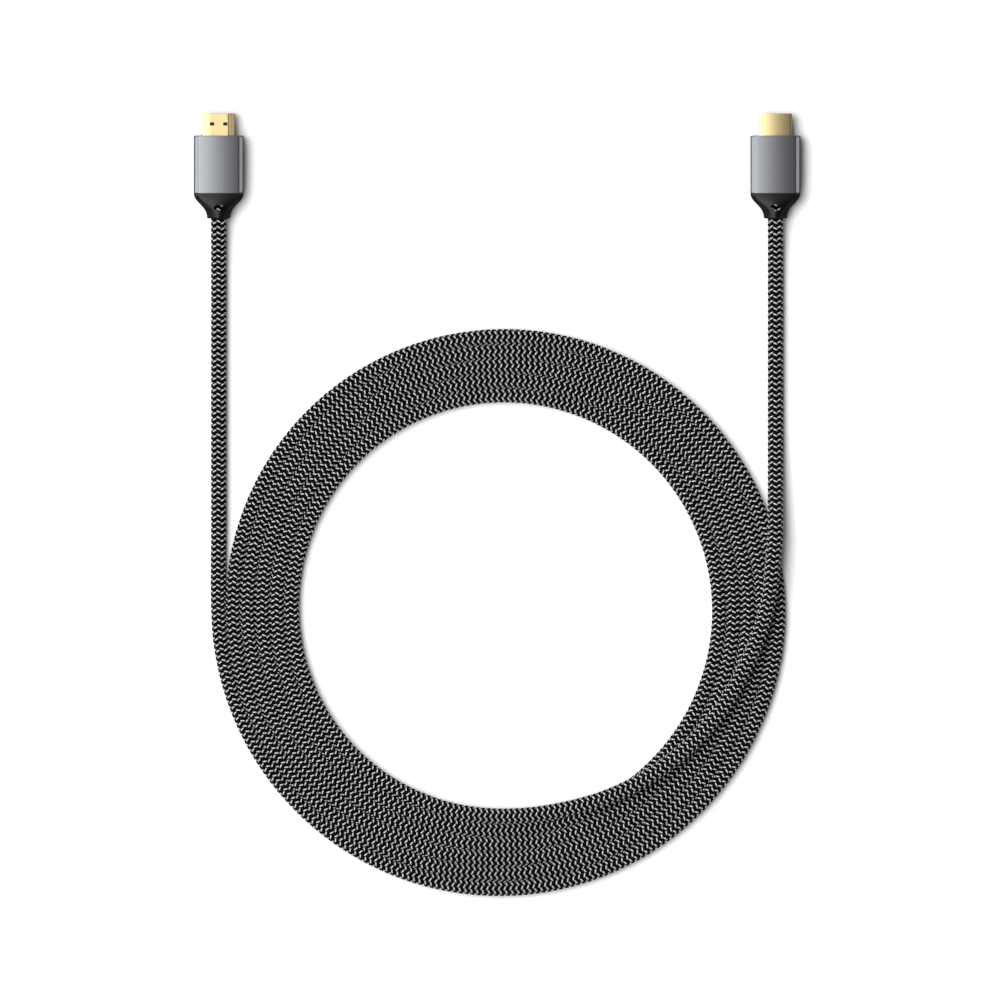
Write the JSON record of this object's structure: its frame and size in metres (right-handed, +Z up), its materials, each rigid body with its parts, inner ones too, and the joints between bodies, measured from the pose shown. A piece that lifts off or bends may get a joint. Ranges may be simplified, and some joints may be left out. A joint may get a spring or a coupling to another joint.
{
  "type": "hdmi cable",
  "caption": "Round braided video cable in a flat coil, with a gold-plated plug, a metal housing and a moulded boot at each end.",
  "frame": {"origin": "on the floor, midway between the two plugs, level with the middle of their length", "axes": "+Y the way both plugs point, +X from the left plug to the right plug, +Z up from the floor; the coil lies towards -Y"},
  "size_m": [0.2548, 0.3286, 0.0125],
  "materials": {
    "shell": "gold-plated sheet metal, bright satin",
    "contact": "gold-plated copper alloy strip, bright",
    "contact_block": "black glass-filled moulding, satin",
    "housing": "space-grey anodised aluminium, fine satin",
    "core": "black moulded plastic, matt",
    "boot": "black moulded soft plastic, satin",
    "braid": "braided black nylon sleeve with light grey flecks"
  },
  "bodies": {
    "root": {"left_shell": "shell", "left_contact_block": "contact_block", "left_housing": "housing", "left_core": "core", "left_boot": "boot", "left_contact_01": "contact", "left_contact_02": "contact", "left_contact_03": "contact", "left_contact_04": "contact", "left_contact_05": "contact", "left_contact_06": "contact", "left_contact_07": "contact", "left_contact_08": "contact", "left_contact_09": "contact", "left_contact_10": "contact", "left_contact_11": "contact", "left_contact_12": "contact", "left_contact_13": "contact", "left_contact_14": "contact", "left_contact_15": "contact", "left_contact_16": "contact", "left_contact_17": "contact", "left_contact_18": "contact", "left_contact_19": "contact", "right_shell": "shell", "right_contact_block": "contact_block", "right_housing": "housing", "right_core": "core", "right_boot": "boot", "right_contact_01": "contact", "right_contact_02": "contact", "right_contact_03": "contact", "right_contact_04": "contact", "right_contact_05": "contact", "right_contact_06": "contact", "right_contact_07": "contact", "right_contact_08": "contact", "right_contact_09": "contact", "right_contact_10": "contact", "right_contact_11": "contact", "right_contact_12": "contact", "right_contact_13": "contact", "right_contact_14": "contact", "right_contact_15": "contact", "right_contact_16": "contact", "right_contact_17": "contact", "right_contact_18": "contact", "right_contact_19": "contact", "cable_left_lead": "braid", "cable_coil": "braid", "cable_right_lead": "braid"}
  },
  "joints": []
}
